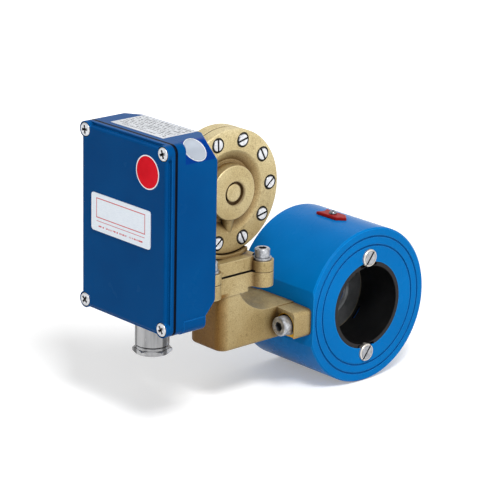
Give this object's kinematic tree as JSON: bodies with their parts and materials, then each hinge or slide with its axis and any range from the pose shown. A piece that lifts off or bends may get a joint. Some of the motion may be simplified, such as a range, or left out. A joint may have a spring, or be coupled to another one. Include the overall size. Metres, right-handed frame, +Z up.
{
  "type": "differential pressure flow transmitter",
  "caption": "Wafer pipe section with an orifice plate, cast brass manifold and diaphragm housing, and a blue electronics box with a cable gland.",
  "frame": {"origin": "on the axis of the pipe section at the middle of its length", "axes": "+X along the pipe with the flow, +Y away from the electronics box, +Z up"},
  "size_m": [0.0861, 0.2361, 0.1943],
  "materials": {
    "pipe_paint": "light blue gloss paint on machined metal",
    "enclosure_paint": "deep blue gloss powder paint",
    "cast_brass": "matt sand-cast brass with fine grain",
    "stainless": "fine turned stainless steel",
    "screw_steel": "bright plated screw steel",
    "spring_steel": "drawn wire",
    "chrome_screw": "polished",
    "nickel_plate": "satin nickel plate",
    "magnet_nickel": "nickel plate",
    "plate_silver": "printed silver plate",
    "arrow_red": "red paint",
    "black_plastic": "moulded black",
    "terminal_plastic": "moulded grey",
    "component_black": "moulded black",
    "board_green": "varnished board",
    "membrane": "fabric reinforced rubber",
    "rubber_black": "smooth",
    "fibre": "pressed fibre"
  },
  "bodies": {
    "transmitter": {"pipe_section": "pipe_paint", "orifice_plate": "stainless", "orifice_gasket": "fibre", "orifice_sleeve": "black_plastic", "retaining_screws": "screw_steel", "flow_arrow": "arrow_red", "arrow_screw": "chrome_screw", "manifold": "cast_brass", "channel_seals": "rubber_black", "manifold_screws": "screw_steel", "manifold_washers": "screw_steel", "housing_base": "cast_brass", "diaphragm_cover": "cast_brass", "diaphragm": "membrane", "range_spring": "spring_steel", "lever_pin": "stainless", "lever_seal": "rubber_black", "rim_screws": "screw_steel", "flange_screws": "screw_steel", "flange_washers": "screw_steel", "neck_gasket": "rubber_black", "neck_screws": "screw_steel", "enclosure_body": "enclosure_paint", "cover_gasket": "rubber_black", "enclosure_cover": "enclosure_paint", "cover_screws": "screw_steel", "nameplate": "plate_silver", "gland_body": "nickel_plate", "gland_seal": "rubber_black", "gland_ring": "rubber_black", "gland_nut": "nickel_plate", "gland_locknut": "nickel_plate", "transmitter_board": "board_green", "board_screws": "screw_steel", "terminal_block": "terminal_plastic", "board_components": "component_black", "sensor": "component_black"},
    "diaphragm_core": {"stem": "stainless", "diaphragm_plates": "stainless"},
    "lever_group": {"lever": "stainless", "magnet": "magnet_nickel"}
  },
  "joints": [
    {"name": "diaphragm_stroke", "type": "slide", "parent": "transmitter", "child": "diaphragm_core", "axis": [1, 0, 0], "range_m": [-0.0015, 0.0015], "stiffness_N_per_m": 1500, "deforming": ["range_spring", "diaphragm"]},
    {"name": "lever_swing", "type": "hinge", "parent": "transmitter", "child": "lever_group", "pos_m": [-0.0135, -0.138, 0.0908], "axis": [0, 0, 1], "range_deg": [-2.4, 2.4]}
  ],
  "couplings": [
    {"joint": "lever_swing", "follows": "diaphragm_stroke", "rad_per_m": -26.882}
  ]
}
